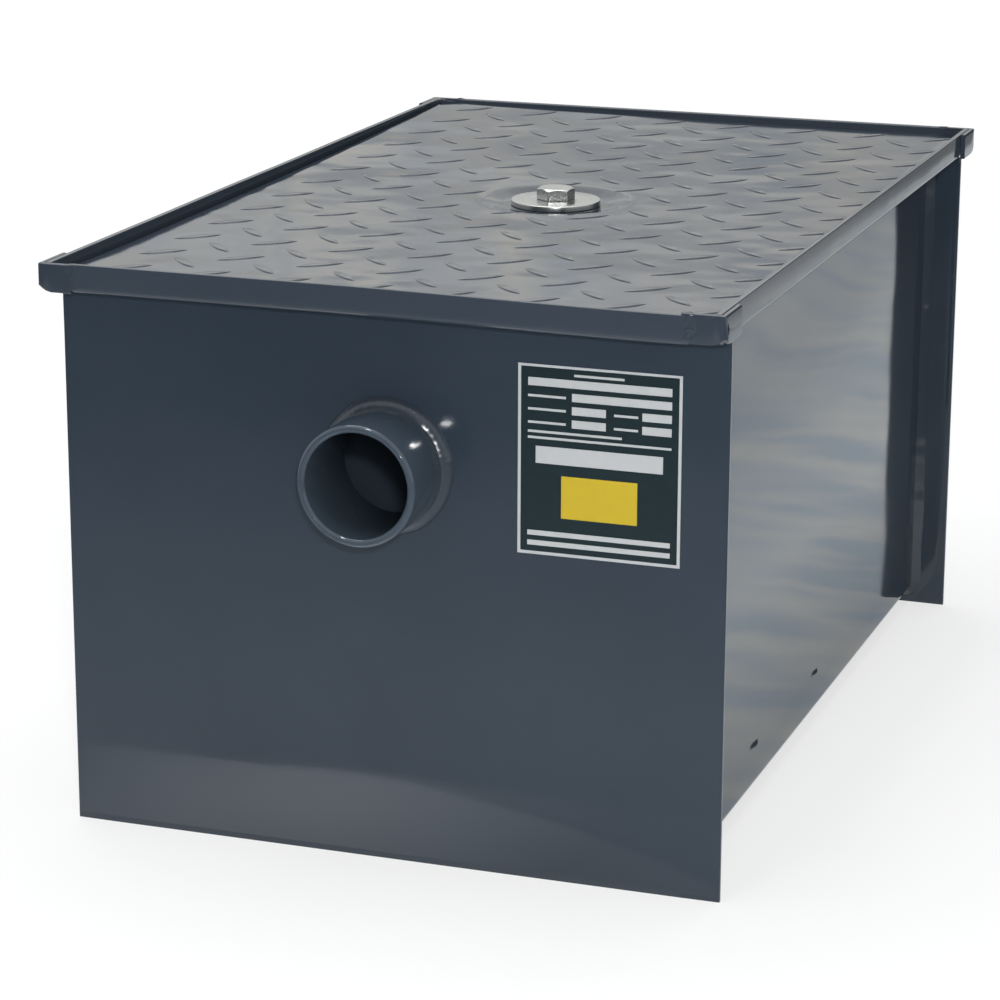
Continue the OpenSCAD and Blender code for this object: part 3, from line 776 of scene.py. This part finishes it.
def label_film():
    """The film's points, front and back, and which box each front cell lies in."""
    boxes = np.array(LABEL_BOXES)
    x = cut_lines(*LABEL_X, LABEL_X[0] + boxes[:, [0, 2]].ravel())
    z = cut_lines(*LABEL_Z, LABEL_Z[0] + boxes[:, [1, 3]].ravel())
    gx, gz = np.meshgrid(x, z, indexing="ij")
    skin = -panel_out - panel_swell(gx, gz, PANEL_SEED["inlet"])
    points = [np.stack([gx, skin + off, gz], -1).reshape(-1, 3) for off in (-LABEL_PROUD, LABEL_SUNK)]
    mid_x = (x[:-1] + x[1:])[:, None] / 2 - LABEL_X[0]
    mid_z = (z[:-1] + z[1:])[None, :] / 2 - LABEL_Z[0]
    colour = np.zeros((len(x) - 1, len(z) - 1), int)
    for left, low, right, high, ink in LABEL_BOXES:
        colour[(mid_x > left) & (mid_x < right) & (mid_z > low) & (mid_z < high)] = int(ink)
    quads = grid_quads(len(x), len(z))
    number = np.arange(gx.size).reshape(gx.shape)
    rim = np.concatenate([number[:, 0], number[-1, 1:], number[-2::-1, -1], number[0, -2:0:-1]])
    wall = np.stack([rim, np.roll(rim, -1), np.roll(rim, -1) + gx.size, rim + gx.size], -1)
    return (np.concatenate(points), np.concatenate([quads, quads + gx.size, wall])), colour


label_shape, label_colour = label_film()
label = piece("label_film", label_shape, film("label_film_white", "#bec0c1", "#b5b9bb"))
label.data.materials.append(film("label_film_green", "#14252a", "#192c31"))
label.data.materials.append(film("label_film_yellow", "#c8ae27", "#c2a826"))
ink_of_face = np.zeros(len(label.data.polygons), np.int32)
ink_of_face[:label_colour.size] = label_colour.ravel()
label.data.polygons.foreach_set("material_index", ink_of_face)
print("label boxes:", len(LABEL_BOXES))

# %% [markdown]
# The solids that stay as they are sit inside the tank or under the lid. They only need the right finish:
# rubber for the gasket and the seal, zinc for the nut, and enamel for the rest.

# %% Finishes of the solids that stay
finish_of = {"lid_gasket": rubber, "bolt_seal": rubber, "bridge_nut": zinc}
kept = {solid: node for solid, node in frame["nodes"].items() if not node.hide_render}
for solid, node in kept.items():
    node.material_slots[0].material = finish_of.get(solid, enamel)
print("solids kept:", sorted(kept))

# %% [markdown]
# The stage is a plain pale floor in soft light. To the camera and in reflections the floor and the room are
# white, though the floor's glow dims towards the tank as a painted shade round it; the lamps and the room
# light the paint at a plain level, and the floor keeps the tank's shadow.

# %% Floor
def stage_sheet(name, points, material, seen=False):
    """A sheet of the stage from a grid of points in metres, left to reflections alone unless it is seen."""
    made = mesh_object(name, points, grid_quads(*points.shape[:2]), material)
    made.visible_camera = made.visible_diffuse = made.visible_shadow = seen
    made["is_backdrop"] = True
    return made


def seen_white(tree, lit, white):
    """The white shader for the camera and for reflections, and the lit one for every other ray."""
    ray = add(tree, "LightPath").outputs
    mirror = add(tree, "Math", (), {0: ray["Is Glossy Ray"], 1: ray["Is Transmission Ray"]},
                 operation="MAXIMUM")
    seen = add(tree, "Math", (), {0: ray["Is Camera Ray"], 1: mirror}, operation="MAXIMUM")
    return add(tree, "MixShader", (), {0: seen, 1: lit, 2: white})


floor_paint = bpy.data.materials.new("pale_floor")
floor_paint.use_nodes = True
tree = floor_paint.node_tree
tree.nodes.remove(tree.nodes["Principled BSDF"])
matt = add(tree, "BsdfDiffuse", {"Color": (0.8, 0.8, 0.8, 1)})
thin = add(tree, "BsdfDiffuse", {"Color": (0.34, 0.34, 0.34, 1)})
place = add(tree, "TexCoord").outputs["Object"]
away = add(tree, "VectorMath", (), {0: place}, operation="LENGTH").outputs["Value"]
# The floor's glow runs from 0.66 at 0.4 m from the middle to 0.86 at 3 m: a painted shade round the tank.
glow_with_painted_shade_near_tank = add(tree, "MapRange", {1: 0.4, 2: 3.0, 3: 0.66, 4: 0.86}, {0: away})
glow = add(tree, "Emission", {"Color": (1, 1, 1, 1)}, {"Strength": glow_with_painted_shade_near_tank})
pale = add(tree, "AddShader", (), {0: thin, 1: glow})
feed(tree.nodes["Material Output"], {"Surface": seen_white(tree, matt, pale)})

spread = np.array([-8.0, 8.0])
floor_points = np.stack([*np.meshgrid(spread, spread, indexing="ij"), np.zeros((2, 2))], -1)
floor = stage_sheet("floor", floor_points, floor_paint, seen=True)

# %% [markdown]
# Gloss paint looks like what stands round it, so the room of the picture is made for reflections alone, out
# of cloths on the floor. A dark cloth in front keeps the panel's reflection dark, and a glowing strip leaves a
# painted sheen along its foot. Pale mottled cloths that glow, unlit, beside the tank paint the wall's clouds as a
# reflection: brightest halfway up, dimmer at its foot and top. A far glowing one serves the right lip, and a
# black one the seam behind it.

# %% Cloths on the floor
CLOTH_MIDDLE, CLOTH_NEAR, ABOVE_FLOOR = (-0.12, 0.138, 0.001), 0.503, 0.001
UNLIT = {"Base Color": (0, 0, 0, 1), "Specular IOR Level": 0.0}


def floor_cloth(name, finish, x, y):
    """A cloth flat on the floor between two x and two y."""
    across, along = np.meshgrid(x, y, indexing="ij")
    return stage_sheet(name, np.stack([across, along, 0 * across + ABOVE_FLOOR], -1), finish)


def glowing_cloth(name, cool, warm, patch_m, stretch, axis, start, end, start_bright, end_bright):
    """A pale cloth that glows with soft cool and warm patches, as bright in shadow as out of it, and paints what
    the gloss reflects; its glow runs along an axis between two places in metres."""
    material, tree, shader, place = new_finish(name, {**UNLIT, "Roughness": 1.0})
    drawn = add(tree, "Mapping", {"Scale": stretch}, {"Vector": place})
    patch = add(tree, "TexNoise", {"Scale": 1 / patch_m, "Detail": 3.0, "Distortion": 0.6},
                {"Vector": drawn})
    steep = add(tree, "MapRange", {1: 0.38, 2: 0.62, 3: 0.0, 4: 1.0}, {0: patch})
    along = add(tree, "SeparateXYZ", (), {0: place}).outputs[axis]
    bright = add(tree, "MapRange", {1: start, 2: end, 3: start_bright, 4: end_bright}, {0: along})
    tone = add(tree, "Mix", {6: linear(cool), 7: linear(warm)}, {0: steep}, data_type="RGBA").outputs[2]
    feed(shader, {"Emission Color": tone, "Emission Strength": bright})
    return material


dark_cloth, tree, shader, place = new_finish("dark_cloth", {"Roughness": 0.9})
far = add(tree, "VectorMath", {1: CLOTH_MIDDLE}, {0: place}, operation="DISTANCE").outputs["Value"]
fade = add(tree, "MapRange", {1: CLOTH_NEAR, 2: 1.25, 3: 0.0, 4: 1.0}, {0: far})
tone = add(tree, "Mix", {6: linear("#d0d2d4"), 7: linear("#2a2f37")}, {0: fade}, data_type="RGBA").outputs[2]
feed(shader, {"Base Color": tone})
turn, reach = np.meshgrid(np.radians(np.linspace(195, 335, 60)), [CLOTH_NEAR, 0.9, 2.2, 7.0], indexing="ij")
cloth_points = np.stack([reach * np.cos(turn), reach * np.sin(turn), 0 * turn], -1) + CLOTH_MIDDLE
cloths = [stage_sheet("dark_cloth", cloth_points, dark_cloth)]

black_card = new_finish("black_card", {"Base Color": linear("#20242a"), "Roughness": 0.9})[0]
glow_tones_for_wall_reflection = ("#cbd7e2", "#eaece9", 0.046, (0.4, 1, 1))
near_cloth = glowing_cloth("near_cloth", *glow_tones_for_wall_reflection, "X", 0.17, 0.25, 0.73, 1.18)
grey_cloth = glowing_cloth("grey_cloth", *glow_tones_for_wall_reflection, "X", 0.29, 0.45, 1.18, 0.95)
far_cloth = glowing_cloth("far_cloth", "#d6dce1", "#e6e6e4", 0.2, (1, 1, 1), "Y", 1.0, 1.96, 0.92, 0.36)

# A strip on the floor before the panel glows, seen only in reflections: strongest, 1.9, at a spot left of the
# middle and falling to 0.8 round it, it paints the sheen along the panel's foot.
pale_strip, tree, shader, place = new_finish("pale_strip", {**UNLIT, "Emission Color": linear("#f6f7fa")})
off = add(tree, "VectorMath", {1: (-0.07, -0.335, 0.001)}, {0: place}, operation="DISTANCE")
painted_sheen_glow = add(tree, "MapRange", {1: 0.03, 2: 0.17, 3: 1.9, 4: 0.8}, {0: off.outputs["Value"]})
feed(shader, {"Emission Strength": painted_sheen_glow})

for name, finish, x, y in (("near_cloth", near_cloth, (shell_half / 1000, 0.27), (-0.26, 3.5)),
                           ("grey_cloth", grey_cloth, (0.27, 0.487), (-0.26, 3.5)),
                           ("black_cloth_at_right", black_card, (0.487, 3.0), (-1.0, 0.9)),
                           ("far_cloth", far_cloth, (0.487, 3.0), (0.9, 4.0)),
                           ("pale_strip", pale_strip, (-0.7, 0.6), (-0.365, -0.262))):
    cloths.append(floor_cloth(name, finish, x, y))
print("cloths:", [c.name for c in cloths])

# %% [markdown]
# The lid mirrors what stands behind the tank: a cloudy pale card that glows, unlit, and paints the lid's sheen,
# dimmer where the lid's far end sees it. Two black cards, behind on the right and by the camera, draw the dark
# edges of the rim and the bolt.

# %% Cards and room
def standing_card(name, finish, left, right, top):
    """An upright card between two points of the floor."""
    foot = np.array([left, right], float)
    return stage_sheet(name, np.stack([np.c_[foot, [0.0, 0.0]], np.c_[foot, [top, top]]]), finish)


cloudy_card = glowing_cloth("cloudy_card", "#c6ced7", "#f6f1e6", 0.13, (1, 1, 1.6), "Z", 0.92, 0.98, 0.8, 1.2)
cards = [standing_card("card_behind_right", black_card, (0.35, 3.0), (2.6, 2.0), 1.8),
         standing_card("card_by_camera", black_card, (-4.0, -3.2), (4.0, -3.2), 2.6),
         standing_card("card_behind", cloudy_card, (-2.6, 3.1), (0.3, 3.1), 2.0)]

world = bpy.data.worlds.new("soft_room")
bpy.context.scene.world = world
world.use_nodes = True
tree = world.node_tree
lit = tree.nodes["Background"]
lit.inputs["Color"].default_value = (0.95, 0.98, 1.0, 1)
lit.inputs["Strength"].default_value = 0.38
white = add(tree, "Background", {"Color": (1, 0.995, 0.975, 1), "Strength": 0.88})
feed(tree.nodes["World Output"], {"Surface": seen_white(tree, lit, white)})
print("stage:", floor.name, [c.name for c in cards], world.name)

# %% [markdown]
# Four lamps finish the light. A wide soft lamp hangs over the tank and a smaller one before it, which shows
# on the weld round the pipe. A flash sits by the camera: its reflection runs along the corner between pipe
# and panel and sparkles on the bolt. Part of it stands higher and leaves a thin shadow under rim and pipe.

# %% Lamps
def lamp(name, place, aim, size, power, roll=0.0):
    """An oblong lamp at a place, facing the point that it lights, rolled about that line by degrees."""
    light = bpy.data.lights.new(name, "AREA")
    light.shape, light.energy = "RECTANGLE", power
    light.size, light.size_y = size
    axis = np.array(place, float) - np.array(aim, float)
    axis /= np.linalg.norm(axis)
    side = np.cross([0.0, 1.0, 0.0] if abs(axis[2]) > 0.9 else [0.0, 0.0, 1.0], axis)
    side /= np.linalg.norm(side)
    side = np.cos(np.radians(roll)) * side + np.sin(np.radians(roll)) * np.cross(axis, side)
    return stand(bpy.data.objects.new(name, light), (side, np.cross(axis, side), axis), place)


FLASH_AIM = (0, -0.2, 0.2)
lamp("soft_lamp_above", (-0.3, 0.2, 2.4), (0, 0, 0.2), (2.0, 2.0), 38)
lamp("warm_lamp_in_front", (-0.15, -1.0, 2.4), (0, -0.3, 0.2), (0.24, 0.14), 4.5)
lamp("flash_by_camera", CAMERA_PLACE + 0.012 * right + 0.004 * up, FLASH_AIM, (0.18, 0.022), 4.5, roll=31)
lamp("flash_above_camera", CAMERA_PLACE + 0.03 * right + 0.1 * up, FLASH_AIM, (0.06, 0.04), 9.5)

# %% [markdown]
# Last, the boxes of the solids and of the dressed part are written down side by side.

# %% Write the sizes and finish
dressed_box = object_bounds()
for name, box in (("CAD box", cad_box), ("dressed", dressed_box)):
    print(name, [[round(v, 4) for v in c] for c in box])
